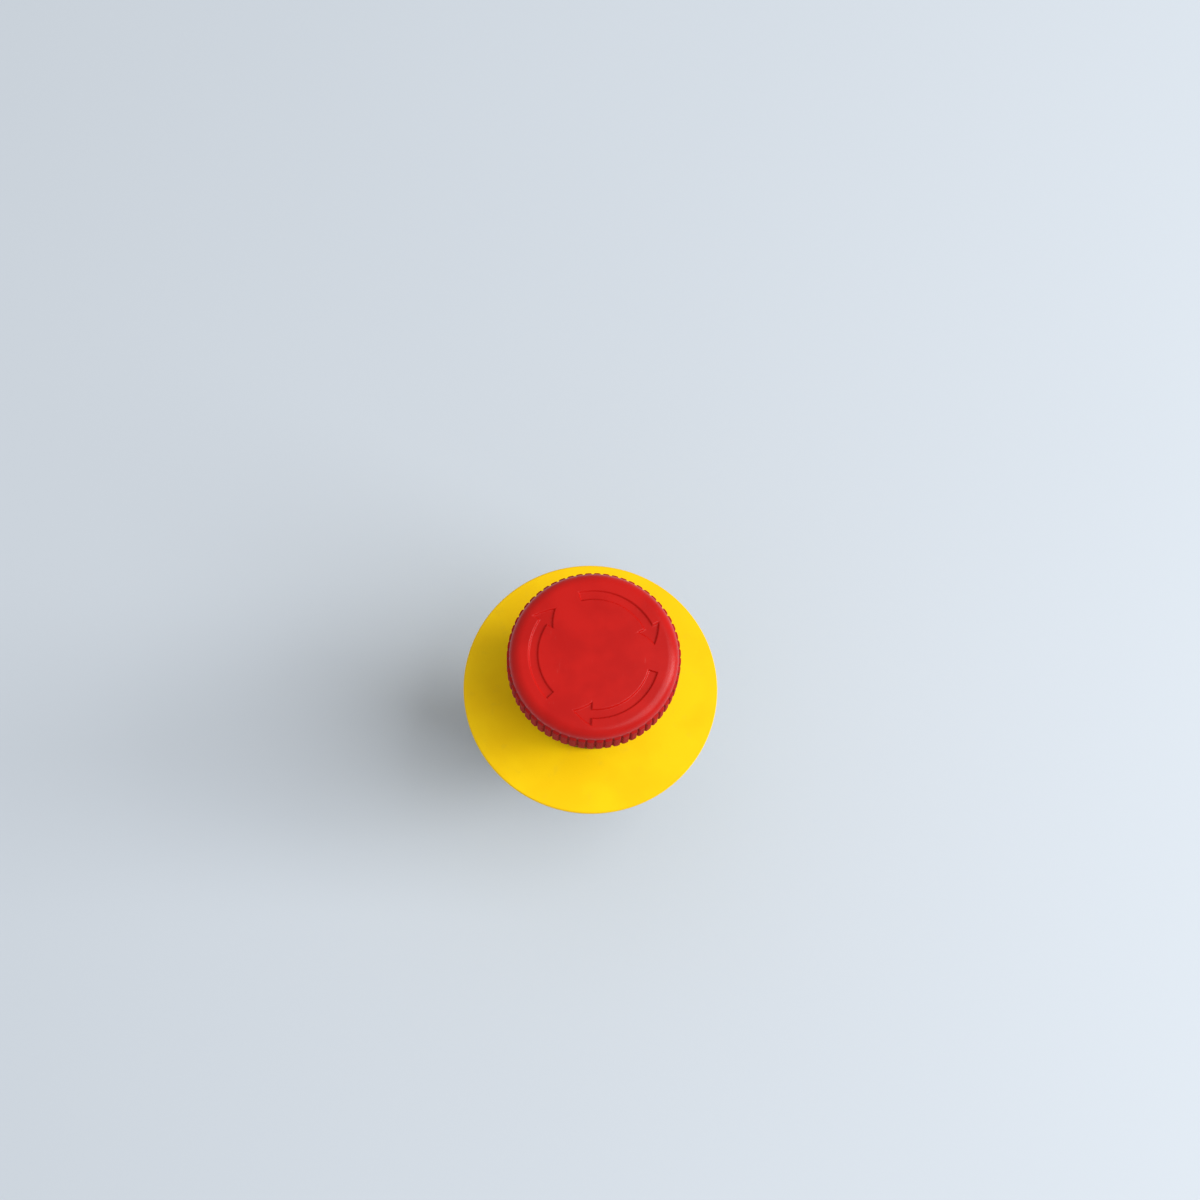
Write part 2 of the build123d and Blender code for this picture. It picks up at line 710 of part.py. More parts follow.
# ---- contact blocks ----------------------------------------------------------------------------
# Each block is built with its open side and cover towards -Y, its other face at y = 0, and is
# then placed. The normally open block is the same moulding turned half a turn about Z.
def block_outline():
    """The block seen from its side, with its rear corners cut off."""
    half = block_length / 2
    return Polyline(
        (-half, 0, block_top), (half, 0, block_top), (half, 0, block_base + block_corner),
        (half - block_corner, 0, block_base), (-half + block_corner, 0, block_base),
        (-half, 0, block_base + block_corner), close=True)


def block_housing():
    """The tray: one side wall, a closed chamber and a terminal pocket at each end."""
    half = block_length / 2
    body = extrude(make_face(block_outline()), -(block_thickness - block_wall), dir=(0, 1, 0))
    y = (cover_face - past, inner_face)
    body -= bar((-half + block_wall, half - block_wall), y, (terminal_floor + block_wall, chamber_front))
    body -= bar((-partition + block_wall, partition - block_wall), y, (chamber_rear, chamber_front))
    for side in (1, -1):
        body -= bar(span(side, partition, half + past), y, (block_base - past, terminal_floor))
        riser = span(side, partition + strip_inset - face_gap,
                     partition + strip_inset + strip_thickness + face_gap)
        body -= bar(riser, y, (terminal_floor - past, terminal_floor + block_wall + past))
        screw_hole = Cylinder(screw_radius + part_gap, block_wall + 4, align=MID)
        body -= Pos(side * screw_x, middle, terminal_floor - past) * screw_hole
        stem = span(side, hook_x, hook_x + hook_thickness)
        nose = span(side, hook_x, hook_x + hook_thickness + hook_nose)
        wide = (-(block_thickness + hook_width) / 2, (hook_width - block_thickness) / 2)
        body += bar(stem, wide, (block_top - weld, hook_top))
        body += bar(nose, wide, (hook_top - hook_tip, hook_top))
    opening = (slider_width / 2 + slide_gap, slider_thickness / 2 + slide_gap)
    body -= bar((-opening[0], opening[0]), (middle - opening[1], middle + opening[1]),
                (chamber_front - past, block_top + past))
    end_groove = Box(2 * end_groove_depth, end_groove_length, end_groove_width)
    for side in (1, -1):
        for step in range(end_grooves):
            level = terminal_floor + (step + 2) * end_groove_pitch
            body -= Pos(side * half, -block_thickness / 2, level) * end_groove
    post = Cylinder(cover_peg_radius + cover_post_wall, inner_face - cover_face + part_gap, align=MID)
    post += Cylinder(cover_peg_radius, part_gap - cover_face, align=MID)
    for x, level in peg_places():
        body += Pos(x, inner_face + part_gap, level) * Rot(90, 0, 0) * post
    return body


def block_cover():
    """Clear side cover, flush with the tray."""
    outline = Pos(0, cover_face - seat_gap / 2, 0) * make_face(block_outline())
    plate = extrude(outline, seat_gap / 2 - block_wall, dir=(0, 1, 0))
    for x, level in peg_places():
        plate -= Pos(x, cover_face, level) * Rot(90, 0, 0) * Cylinder(cover_peg_radius + face_gap, 6)
    return plate


def peg_places():
    """Where the tray's pegs stand, as (x, z)."""
    far = block_length / 2 - cover_peg_inset
    levels = (chamber_front - cover_peg_inset, terminal_floor + block_wall + cover_peg_inset)
    return [(x, z) for x in (far, -far) for z in levels]


def slider(window_low, window_high):
    """The block's plunger, with a window for the bridge and a spigot for the return spring."""
    half_x, half_y = slider_width / 2, slider_thickness / 2
    body = bar((-half_x, half_x), (middle - half_y, middle + half_y), (slider_foot, slider_top))
    body = chamfer(body.edges().group_by(Axis.Z)[-1], edge_break)
    half_window = bridge_width / 2 + face_gap
    body -= bar((-half_x - past, half_x + past), (middle - half_window, middle + half_window),
                (window_low, window_high))
    return body + Pos(0, middle, 0) * rod(spigot_radius, slider_foot - spigot_length, slider_foot + weld)


def bridge(low, tips_up):
    """The moving contact strip with a silver tip near each end."""
    half_y = bridge_width / 2
    body = bar((-bridge_half_length, bridge_half_length), (middle - half_y, middle + half_y),
               (low, low + bridge_thickness))
    start = low + bridge_thickness if tips_up else low - tip_height
    for side in (1, -1):
        body += Pos(side * tip_offset, middle, start) * Cylinder(tip_radius, tip_height, align=MID)
    return body


def fixed_contact(side, level, tip_up):
    """Brass strip from the terminal floor to the chamber, with a silver tip on its arm."""
    half_y = strip_width / 2
    y = (middle - half_y, middle + half_y)
    riser = partition + strip_inset
    arm_low = level - tip_height - strip_thickness if tip_up else level + tip_height
    foot_top = terminal_floor - seat_gap
    foot = bar((riser, block_length / 2 - weld), y, (foot_top - strip_thickness, foot_top))
    column = bar((riser, riser + strip_thickness), y, (foot_top - weld, arm_low + strip_thickness))
    arm_end = tip_offset - tip_radius - slide_gap
    arm = bar((arm_end, riser + strip_thickness), y, (arm_low, arm_low + strip_thickness))
    tip_base = level - tip_height if tip_up else level
    tip = Pos(tip_offset, middle, tip_base) * Cylinder(tip_radius, tip_height, align=MID)
    body = foot + column + arm + tip
    body -= Pos(screw_x, middle, foot_top) * Cylinder(screw_radius + run_gap, 3 * strip_thickness)
    return body if side > 0 else mirror(body, Plane.YZ)


def terminal_screws():
    """Two screws whose slotted heads face the rear."""
    clamp_low = terminal_floor - strip_thickness - clamp_opening - clamp_thickness
    head_base = clamp_low - screw_head_height
    half = screw_slot_width / 2
    slot_height = (head_base - past, head_base + screw_slot_depth)
    screws = []
    for side in (1, -1):
        head = rod(screw_head_radius, head_base, clamp_low - seat_gap)
        head = fillet(head.edges().group_by(Axis.Z)[0], edge_break)
        head -= bar((-screw_head_radius - past, screw_head_radius + past), (-half, half), slot_height)
        head -= bar((-half, half), (-screw_radius, screw_radius), slot_height)
        shank = rod(screw_radius, clamp_low - weld, terminal_floor + block_wall)
        screws.append(Pos(side * screw_x, middle, 0) * (head + shank))
    return screws


def clamp_washers():
    clamp_top = terminal_floor - strip_thickness - clamp_opening
    plates = []
    for side in (1, -1):
        plate = bar((-clamp_size / 2, clamp_size / 2), (-clamp_size / 2, clamp_size / 2),
                    (clamp_top - clamp_thickness, clamp_top))
        plate = fillet(plate.edges().filter_by(Axis.Z), 2 * edge_break)
        plate -= rod(screw_radius + slide_gap, clamp_top - clamp_thickness - past, clamp_top + past)
        plates.append(Pos(side * screw_x, middle, 0) * plate)
    return plates


def spring_at(mean_radius, wire, low, high, turns):
    return Pos(0, middle, 0) * coil(mean_radius, wire, low, high, turns)


def block_pieces(prefix, normally_open):
    """Every piece of one contact block in the block's own place, by node name."""
    if normally_open:
        level = open_strip
        bridge_low = level + open_bridge_lift + tip_height
        window = (bridge_low - face_gap, bridge_low + bridge_thickness + contact_play)
        spring = (bridge_low + bridge_thickness + seat_gap, window[1] - seat_gap)
    else:
        level = closed_strip
        bridge_low = level - tip_height - bridge_thickness
        window = (bridge_low - contact_play - past, bridge_low + bridge_thickness + 2 * face_gap)
        spring = (window[0] + seat_gap, bridge_low - seat_gap)
    return {
        prefix + "_housing": block_housing(),
        prefix + "_cover": block_cover(),
        prefix + "_slider": slider(*window),
        prefix + "_bridge": bridge(bridge_low, not normally_open),
        prefix + "_contact_spring": spring_at(contact_spring_radius, contact_spring_wire, *spring,
                                              contact_spring_turns),
        prefix + "_return_spring": spring_at(return_spring_radius, return_spring_wire,
                                             chamber_rear + seat_gap, slider_foot - seat_gap,
                                             return_spring_turns),
        prefix + "_fixed_contact_a": fixed_contact(1, level, normally_open),
        prefix + "_fixed_contact_b": fixed_contact(-1, level, normally_open),
        prefix + "_terminal_screws": terminal_screws(),
        prefix + "_clamp_washers": clamp_washers(),
    }


# ---- every node --------------------------------------------------------------------------------
def all_nodes():
    nodes = {
        "mushroom_head": mushroom_head(),
        "cam_spindle": cam_spindle(),
        "spindle_clip": spindle_clip(),
        "torsion_spring": torsion_spring(),
        "plunger_sleeve": plunger_sleeve(),
        "stop_clip": stop_clip(),
        "pusher_plate": pusher_plate(),
        "latch_pin_right": latch_pin(1),
        "latch_pin_left": latch_pin(-1),
        "latch_springs": latch_springs(),
        "trip_spring": trip_spring(),
        "operator_barrel": operator_barrel(),
        "shaft_seal": shaft_seal(),
        "collar_cap": collar_cap(),
        "panel_gasket": panel_gasket(),
        "legend_disc": legend_disc(),
        "lock_washer": lock_washer(),
        "ring_nut": ring_nut(),
        "holder_frame": holder_frame(),
        "holder_cap": holder_cap(),
        "locking_ring": locking_ring(),
    }
    places = {
        "closed_contact": Pos(0, -block_gap / 2, 0),
        "open_contact": Pos(0, block_gap / 2, 0) * Rot(0, 0, 180),
    }
    for prefix, place in places.items():
        for name, piece in block_pieces(prefix, prefix == "open_contact").items():
            nodes[name] = [place * p for p in piece] if isinstance(piece, list) else place * piece
    return nodes


os.makedirs("parts", exist_ok=True)
for node, piece in all_nodes().items():
    solids = piece if isinstance(piece, list) else [piece]
    whole = Compound(children=[s for item in solids for s in item.solids()])
    export_step(whole, f"parts/{node}.step")
    print(node, len(whole.solids()), round(whole.volume, 1))
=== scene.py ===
import json
import math

import bpy
import numpy as np
from mathutils import Matrix, Vector


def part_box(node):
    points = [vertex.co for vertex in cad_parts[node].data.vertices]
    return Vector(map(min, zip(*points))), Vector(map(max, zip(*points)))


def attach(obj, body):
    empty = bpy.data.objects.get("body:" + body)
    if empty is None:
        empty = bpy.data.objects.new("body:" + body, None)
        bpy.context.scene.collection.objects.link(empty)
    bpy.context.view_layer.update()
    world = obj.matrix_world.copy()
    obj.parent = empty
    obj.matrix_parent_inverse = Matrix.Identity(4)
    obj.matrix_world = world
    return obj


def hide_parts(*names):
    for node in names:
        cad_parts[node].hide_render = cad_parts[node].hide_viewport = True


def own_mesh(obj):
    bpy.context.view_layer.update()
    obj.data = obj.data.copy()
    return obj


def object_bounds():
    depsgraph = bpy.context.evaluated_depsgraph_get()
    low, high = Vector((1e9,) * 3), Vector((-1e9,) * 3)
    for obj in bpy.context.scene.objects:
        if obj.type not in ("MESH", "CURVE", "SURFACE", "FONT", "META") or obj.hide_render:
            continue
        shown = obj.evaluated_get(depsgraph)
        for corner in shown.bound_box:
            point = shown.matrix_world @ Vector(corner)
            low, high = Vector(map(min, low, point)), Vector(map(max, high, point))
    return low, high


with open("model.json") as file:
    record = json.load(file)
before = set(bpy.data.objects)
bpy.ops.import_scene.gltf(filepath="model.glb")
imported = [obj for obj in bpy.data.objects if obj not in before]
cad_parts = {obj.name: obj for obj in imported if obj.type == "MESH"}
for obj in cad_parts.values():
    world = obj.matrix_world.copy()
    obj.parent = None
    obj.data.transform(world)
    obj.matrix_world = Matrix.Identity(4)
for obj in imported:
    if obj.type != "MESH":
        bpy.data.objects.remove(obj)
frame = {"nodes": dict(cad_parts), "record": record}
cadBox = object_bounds()
mm = 0.001
print("frame loaded:", len(frame["nodes"]), "nodes")


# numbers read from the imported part
def boxOf(node):
    # a node's low and high corners, in metres
    low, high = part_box(node)
    return np.array(low), np.array(high)


headLow, headHigh = boxOf("mushroom_head")
barrelLow, barrelHigh = boxOf("operator_barrel")
capHigh = boxOf("collar_cap")[1]
discHigh = boxOf("legend_disc")[1]
blockLow = boxOf("closed_contact_housing")[0]


# mesh building
# Grids are rows of points from the top middle outwards, down and back in, and columns that
# run anticlockwise seen from +Z, so faces always point outwards.
def gridFaces(rowCount, columnCount, closedRows):
    # four corners to a face: here, the row below, below and beside, beside
    rows = np.arange(rowCount if closedRows else rowCount - 1)
    columns = np.arange(columnCount)
    i, j = np.meshgrid(rows, columns, indexing="ij")
    below = (i + 1) % rowCount
    beside = (j + 1) % columnCount
    corners = [i * columnCount + j, below * columnCount + j,
               below * columnCount + beside, i * columnCount + beside]
    return np.stack(corners, axis=-1).reshape(-1, 4)


def poleFaces(ring, pole, reverse):
    # a fan of triangles from one ring of points to a pole
    after = np.roll(ring, -1)
    order = (ring, after) if not reverse else (after, ring)
    return np.stack([np.full_like(ring, pole), *order], axis=-1)


def makePiece(name, points, quads, triangles=None, sharp=35.0):
    # a smooth-shaded mesh object, with edges over the sharp angle kept crisp
    triangles = np.zeros((0, 3), int) if triangles is None else triangles
    mesh = bpy.data.meshes.new(name)
    mesh.vertices.add(len(points))
    mesh.vertices.foreach_set("co", np.asarray(points, np.float32).ravel())
    corners = np.concatenate([quads.ravel(), triangles.ravel()]).astype(np.int32)
    mesh.loops.add(len(corners))
    mesh.loops.foreach_set("vertex_index", corners)
    starts = np.concatenate([
        np.arange(len(quads)) * 4,
        len(quads) * 4 + np.arange(len(triangles)) * 3,
    ]).astype(np.int32)
    mesh.polygons.add(len(starts))
    mesh.polygons.foreach_set("loop_start", starts)
    mesh.polygons.foreach_set("use_smooth", np.ones(len(starts), bool))
    mesh.update(calc_edges=True)
    mesh.validate()
    mesh.set_sharp_from_angle(angle=math.radians(sharp))
    piece = bpy.data.objects.new(name, mesh)
    bpy.context.scene.collection.objects.link(piece)
    return piece


def latheGrid(radii, heights, angles):
    # (r cos a, r sin a, z) for every row and column; radii and heights may vary by column
    radii, heights, angles = np.broadcast_arrays(radii, heights, angles)
    return np.stack([radii * np.cos(angles), radii * np.sin(angles), heights], axis=-1)


def lathePiece(name, radii, heights, angles, ring=False, sharp=35.0):
    # a turned piece in mm: a ring closes on itself, anything else ends in two poles on the axis
    grid = latheGrid(radii, heights, angles) * mm
    rowCount, columnCount = grid.shape[:2]
    points = grid.reshape(-1, 3)
    quads = gridFaces(rowCount, columnCount, ring)
    triangles = None
    if not ring:
        last = rowCount * columnCount
        poles = np.array([[0, 0, heights[0].mean() * mm], [0, 0, heights[-1].mean() * mm]])
        points = np.concatenate([points, poles])
        first = poleFaces(np.arange(columnCount), last, False)
        final = poleFaces(np.arange(last - columnCount, last), last + 1, True)
        triangles = np.concatenate([first, final])
    return makePiece(name, points, quads, triangles, sharp)


def arcPoints(centre, radius, start, end, count):
    # (centre r + radius sin a, centre z + radius cos a), a in degrees from straight up
    a = np.radians(np.linspace(start, end, count))
    return np.stack([centre[0] + radius * np.sin(a), centre[1] + radius * np.cos(a)], axis=-1)


def linePoints(start, end, count):
    # start + t (end - start) for evenly spaced t
    t = np.linspace(0, 1, count)[:, None]
    return (1 - t) * np.array(start) + t * np.array(end)


def column(values):
    # one value to a row, so that it spreads over the columns
    return np.asarray(values, float)[:, None]


def smooth(x):
    # 3 x^2 - 2 x^3 between 0 and 1
    x = np.clip(x, 0, 1)
    return x * x * (3 - 2 * x)


# the mushroom head
headSizes = {
    "top": headHigh[2] / mm,
    "crestRadius": headHigh[0] / mm,
    "ribDepth": 0.5,
    "ribCount": 60,
    "edgeRadius": 2.7,
    "crown": 0.35,
    "rimHeight": 8.0,
    "edgeRows": 12,
    "edgeTilt": 2.4,
    "edgeEnd": 84,
    "skirtBase": 18.0,
    "skirtWall": 1.2,
    "skirtInner": capHigh[0] / mm + 0.3,
    "skirtFlare": (0.85, 0.7),
    "hubRadius": 10.8,
    "hubBase": headLow[2] / mm,
    "ceiling": 33.05,
    "hollowRadius": 17.1,
    "webCount": 6,
    "webBase": capHigh[2] / mm + 4.8,
    "webAngle": 6.5,
    "arrowCount": 3,
    "arrowDepth": 0.45,
    "arrowWall": 0.42,
    "arrowMiddle": 13.8,
    "arrowHalfShaft": 1.0,
    "arrowHalfHead": 2.6,
    "arrowShaftAngle": 76.5,
    "arrowHeadAngle": 17.0,
    "arrowTail": -13.0,
    "arrowOverlap": 2,
    "centreRadii": (0.6, 2, 4, 6, 8, 9.6, 10.7),
    "arrowRows": (11.08, 16.6, 0.105),
}


def arrowDepth(radii, clock, s):
    # how deep the arrows are at a radius and a clock angle in degrees:
    # depth x smooth step of the distance inside a curved bar joined to a triangle
    along = np.mod(clock - s["arrowTail"], 360 / s["arrowCount"])
    arc = math.radians(1) * s["arrowMiddle"]
    off = np.abs(radii - s["arrowMiddle"])
    shaftEnd = s["arrowShaftAngle"] + s["arrowOverlap"]
    shaft = np.minimum(np.minimum(along, shaftEnd - along) * arc, s["arrowHalfShaft"] - off)
    left = s["arrowShaftAngle"] + s["arrowHeadAngle"] - along
    length = s["arrowHeadAngle"] * arc
    lean = math.cos(math.atan2(s["arrowHalfHead"], length))
    side = (s["arrowHalfHead"] * left * arc / length - off) * lean
    point = np.minimum((along - s["arrowShaftAngle"]) * arc, side)
    inside = np.maximum(shaft, point)
    return s["arrowDepth"] * smooth(inside / s["arrowWall"] + 0.5)


def ribColumns(s):
    # the columns' angles and each one's share of a rib's height, closer at a groove's foot and shoulder;
    # share is the place along one pitch, starting from the middle of a groove
    share = np.array([0, 0.055, 0.115, 0.165, 0.225, 0.31, 0.41, 0.5, 0.59, 0.69, 0.775, 0.835, 0.885, 0.945])
    lift = np.array([0, 0.03, 0.52, 0.84, 0.96, 1, 1, 1, 1, 1, 0.96, 0.84, 0.52, 0.03])
    pitch = 2 * math.pi / s["ribCount"]
    angles = (np.arange(s["ribCount"])[:, None] + share[None, :]).ravel() * pitch
    return angles, np.tile(lift, s["ribCount"])


def headPiece():
    # a turned outline whose rows at the rim swell into ribs and whose top sinks into the arrows
    s = headSizes
    angles, lift = ribColumns(s)
    root = s["crestRadius"] - s["ribDepth"]
    centre = (root - s["edgeRadius"], s["top"] - s["crown"] - s["edgeRadius"])
    edge = arcPoints(centre, s["edgeRadius"], s["edgeTilt"], s["edgeEnd"], s["edgeRows"])
    rimTop = centre[1]
    rimBase = rimTop - s["rimHeight"]
    # the top: z = edge + rise (1 - (r / edge r)^2), with close rows where the arrows are
    topRadii = np.concatenate([s["centreRadii"], np.arange(*s["arrowRows"])])
    rise = s["top"] - edge[0, 1]
    top = np.stack([topRadii, edge[0, 1] + rise * (1 - (topRadii / edge[0, 0]) ** 2)], axis=-1)
    # the ribs' ends are rounded: how far below the rim each row lies, and its share of a rib's height
    ribRows = np.array([0.12, 0.28, 0.42, 0.7, 2.5, 5.5,
                        s["rimHeight"] - 0.75, s["rimHeight"] - 0.42, s["rimHeight"] - 0.25])
    ribShare = np.array([0.1, 0.62, 0.93, 1, 1, 1, 1, 0.8, 0.3])
    ribs = np.stack([np.full(len(ribRows), root), rimTop - ribRows], axis=-1)
    foot = s["skirtInner"] + s["skirtWall"]
    below = np.concatenate([
        [[root - 0.02, rimBase + 0.12], [root - 0.14, rimBase + 0.02], [root - 0.4, rimBase - 0.06]],
        linePoints((root - s["skirtFlare"][0], rimBase - s["skirtFlare"][1]),
                   (foot + 0.15, s["skirtBase"] + 0.35), 5),
        [[foot, s["skirtBase"] + 0.12], [foot - 0.12, s["skirtBase"]]],
        [[s["skirtInner"] + 0.1, s["skirtBase"]], [s["skirtInner"], s["skirtBase"] + 0.1]],
        [[s["skirtInner"], s["skirtBase"] + 1], [s["hollowRadius"], rimBase + 1]],
        [[s["hollowRadius"], s["ceiling"]], [s["hubRadius"], s["ceiling"]]],
        [[s["hubRadius"], s["hubBase"] + 0.3], [s["hubRadius"] - 0.3, s["hubBase"]], [1.0, s["hubBase"]]],
    ])
    profile = np.concatenate([top, edge, ribs, below])
    radii = column(profile[:, 0]) + np.zeros(len(angles))
    heights = column(profile[:, 1]) + np.zeros(len(angles))
    ribStart = len(top) + len(edge)
    ribEnd = ribStart + len(ribs)
    radii[ribStart:ribEnd] += s["ribDepth"] * ribShare[:, None] * lift[None, :]
    clock = 90 - np.degrees(angles)[None, :]
    heights[:len(top)] -= arrowDepth(radii[:len(top)], clock, s)
    return lathePiece("mushroomHead", radii, heights, angles, sharp=50)


# the barrel with its thread
barrelSizes = {
    "crest": 10.9,
    "threadDepth": 0.85,
    "pitch": 1.5,
    "threadTop": -0.5,
    "threadBase": -12.3,
    "flankSlope": 4.4,
    "rootShare": 0.55,
    "fadeTop": 0.9,
    "fadeBase": 1.2,
    "rowsPerTurn": 14,
    "rearRadius": 10.0,
    "rearBore": 9.4,
    "bore": 7.5,
    "stopLevel": -14.0,
    "grooveRadius": 8.63,
    "grooveBase": -11.05,
    "grooveTop": -8.25,
    "rampTop": -3.45,
    "collarFloor": 2.8,
    "slotRadius": 8.4,
    "slotHalfWidth": 0.95,
    "columns": 288,
    "collar": 13.2,
    "collarBore": 11.1,
    "lugHeight": 1.0,
    "lugThickness": 1.55,
    "lugAngle": 36.0,
    "firstLug": -120.0,
    "lugCount": 3,
    "flangeLift": 0.8,
    "flangeThickness": 3.0,
    "flangeRound": 1.1,
    "collarRound": 0.55,
    "edge": 0.1,
    "keyHeight": 1.5,
    "keyRear": -0.9,
    "keyRise": 0.9,
    "keyAngle": 14.4,
}


def threadRadius(heights, angles, s):
    # crest - depth x trapezoid wave of (z / pitch - turns), faded out at both ends
    phase = np.mod(heights / s["pitch"] - angles / (2 * math.pi), 1.0)
    wave = np.clip(np.abs(phase - 0.5) * s["flankSlope"] - s["rootShare"], 0, 1)
    fadeIn = smooth((s["threadTop"] - heights) / s["fadeTop"])
    fade = fadeIn * smooth((heights - s["threadBase"]) / s["fadeBase"])
    return s["crest"] - s["threadDepth"] * (1 - wave) * fade


def barrelPiece():
    # a turned outline in three parts: collar and flange, helical thread, rear and bore
    s = barrelSizes
    flange = barrelHigh[0] / mm
    base = barrelLow[2] / mm
    collarTop = barrelHigh[2] / mm
    flangeBase = discHigh[2] / mm + s["flangeLift"]
    flangeTop = flangeBase + s["flangeThickness"]
    edge = s["edge"]
    angles = np.linspace(0, 2 * math.pi, s["columns"], endpoint=False)
    front = np.concatenate([
        [[s["collarBore"], collarTop - edge], [s["collarBore"] + edge, collarTop]],
        [[s["collar"] - edge, collarTop], [s["collar"], collarTop - edge], [s["collar"], flangeTop + 1.1]],
        arcPoints((s["collar"] + s["collarRound"], flangeTop + 0.6), s["collarRound"], 270, 200, 5),
        arcPoints((flange - s["flangeRound"], flangeTop - s["flangeRound"]), s["flangeRound"], 5, 90, 8),
        [[flange, flangeBase + 0.15], [flange - 0.15, flangeBase], [s["crest"] + edge, flangeBase]],
        [[s["crest"], flangeBase - edge]],
    ])
    threadRows = np.arange(s["threadTop"], s["threadBase"], -s["pitch"] / s["rowsPerTurn"])
    rear = np.concatenate([
        [[s["crest"], s["threadBase"] + 0.3], [s["crest"] - 0.3, s["threadBase"]]],
        [[s["rearRadius"] + edge, s["threadBase"] - 0.02], [s["rearRadius"], s["threadBase"] - 0.15]],
        [[s["rearRadius"], base + 0.15], [s["rearRadius"] - 0.15, base]],
        [[s["rearBore"] + edge, base], [s["rearBore"], base + edge]],
        [[s["rearBore"], s["stopLevel"]], [s["bore"], s["stopLevel"]], [s["bore"], s["grooveBase"]]],
        [[s["grooveRadius"], s["grooveBase"]], [s["grooveRadius"], s["grooveTop"]]],
        [[s["bore"], s["rampTop"]], [s["bore"], s["collarFloor"]], [s["collarBore"], s["collarFloor"]]],
    ])
    # the bore widens to a slot where it faces +Y: |cos a| x bore < half the slot's width
    inBore = (rear[:, 0] < s["grooveRadius"]) & (rear[:, 1] >= s["stopLevel"])
    inSlot = (np.abs(np.cos(angles)) * s["bore"] < s["slotHalfWidth"]) & (np.sin(angles) > 0)
    rearRadii = np.where(inBore[:, None] & inSlot[None, :], s["slotRadius"], column(rear[:, 0]))
    radii = np.concatenate([
        column(front[:, 0]) + np.zeros(len(angles)),
        threadRadius(column(threadRows), angles[None, :], s),
        rearRadii,
    ])
    heights = np.concatenate([front[:, 1], threadRows, rear[:, 1]])
    return lathePiece("threadedBarrel", radii, column(heights) + np.zeros(len(angles)), angles, ring=True)


def sectorPiece(name, inner, outer, low, high, middle, spread, soften=0.12):
    # a block of a ring: its outline is a rounded rectangle in (r, z), carried through the angle
    outline = np.array([
        [inner, low], [outer - soften, low], [outer, low + soften],
        [outer, high - soften], [outer - soften, high], [inner, high],
    ])
    steps = np.radians(np.linspace(middle - spread / 2, middle + spread / 2, 13))
    grid = latheGrid(outline[:, 0][None, :], outline[:, 1][None, :], steps[:, None]) * mm
    count = len(outline)
    quads = gridFaces(len(steps), count, False)
    centres = grid[[0, -1]].mean(axis=1)
    points = np.concatenate([grid.reshape(-1, 3), centres])
    last = len(steps) * count
    ends = np.concatenate([
        poleFaces(np.arange(count), last, False),
        poleFaces(np.arange(last - count, last), last + 1, True),
    ])
    return makePiece(name, points, quads, ends)


def webPieces():
    # ribs inside the head, from its neck to its outer wall
    s = headSizes
    return [sectorPiece(f"headWeb{number + 1}", s["hubRadius"] - 0.2, s["hollowRadius"] + 0.2,
                        s["webBase"], s["ceiling"] + 0.2, (number + 0.5) * 360 / s["webCount"], s["webAngle"])
            for number in range(s["webCount"])]


def lugPieces():
    # the bayonet lugs round the barrel's rear, and the key behind its flange
    s = barrelSizes
    base = barrelLow[2] / mm
    pieces = []
    for number in range(s["lugCount"]):
        angle = s["firstLug"] + number * 360 / s["lugCount"]
        pieces.append(sectorPiece(f"bayonetLug{number + 1}", s["rearRadius"] - 0.3,
                                  s["rearRadius"] + s["lugHeight"], base, base + s["lugThickness"],
                                  angle, s["lugAngle"]))
    pieces.append(sectorPiece("panelKey", s["crest"] - 0.5, s["crest"] + s["keyHeight"], s["keyRear"],
                              discHigh[2] / mm + s["keyRise"], 90, s["keyAngle"]))
    return pieces


# coil springs
coilSizes = {
    "around": 20,
    "perTurn": 40,
    "restTurns": 0.75,
    "evenShare": 0.12,
    "straightShare": 0.35,
    "endRound": 0.2,
}


def springPiece(name, middle, radius, wire, low, high, turns):
    # a circle of the wire's radius carried along (R cos t, R sin t, z), where z mixes an even climb,
    # a straight ramp and a smooth ramp, so that the coils at both ends lie nearly flat
    s = coilSizes
    around = s["around"]
    count = int(s["perTurn"] * turns) + 1
    share = np.linspace(0, 1, count)
    t = share * turns * 2 * math.pi
    rest = s["restTurns"] / turns
    ramp = np.clip((share - rest) / (1 - 2 * rest), 0, 1)
    curve = s["straightShare"] * ramp + (1 - s["straightShare"]) * smooth(ramp)
    climb = s["evenShare"] * share + (1 - s["evenShare"]) * curve
    centreLine = np.stack([radius * np.cos(t), radius * np.sin(t),
                           low + wire / 2 + (high - low - wire) * climb], axis=-1)
    tangent = np.gradient(centreLine, axis=0)
    tangent /= np.linalg.norm(tangent, axis=1, keepdims=True)
    outward = np.stack([np.cos(t), np.sin(t), np.zeros(count)], axis=-1)
    outward -= (outward * tangent).sum(axis=1, keepdims=True) * tangent
    outward /= np.linalg.norm(outward, axis=1, keepdims=True)
    side = np.cross(tangent, outward)
    a = np.linspace(0, 2 * math.pi, around, endpoint=False)[None, :, None]
    tube = centreLine[:, None] + wire / 2 * (np.cos(a) * outward[:, None] - np.sin(a) * side[:, None])
    # each end of the wire runs out to a pole
    reach = wire * s["endRound"]
    poles = centreLine[[0, -1]] + tangent[[0, -1]] * [[-reach], [reach]]
    points = np.concatenate([tube.reshape(-1, 3), poles])
    last = count * around
    quads = gridFaces(count, around, False)
    ends = np.concatenate([
        poleFaces(np.arange(around), last, False),
        poleFaces(np.arange(last - around, last), last + 1, True),
    ])
    points = (points + np.array(middle)) * mm
    return makePiece(name, points, quads, ends, sharp=60)


